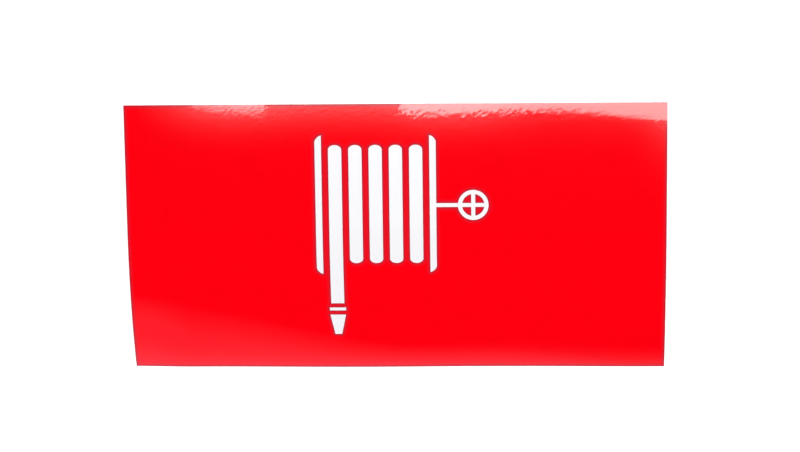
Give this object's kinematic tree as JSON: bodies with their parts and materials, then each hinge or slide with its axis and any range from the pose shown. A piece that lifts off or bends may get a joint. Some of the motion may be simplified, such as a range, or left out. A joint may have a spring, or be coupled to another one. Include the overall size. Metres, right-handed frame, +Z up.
{
  "type": "fire hydrant sign",
  "caption": "Thin rectangular safety sign of self-adhesive film, red with a white fire hose reel symbol, slightly curled, still on its paper liner.",
  "frame": {"origin": "centre of the floor area that the sheet covers, at floor level", "axes": "+X to the right along the sign's width, +Y towards the sign's top edge, +Z up out of the printed face"},
  "size_m": [0.24, 0.1238, 0.0081],
  "materials": {
    "red_ink": "glossy screen ink, lightly orange-peeled",
    "white_vinyl": "glossy soft vinyl film",
    "liner_paper": "smooth siliconed paper, matt on its outer side"
  },
  "bodies": {
    "root": {"red_print": "red_ink", "white_film": "white_vinyl", "release_liner": "liner_paper"}
  },
  "joints": []
}
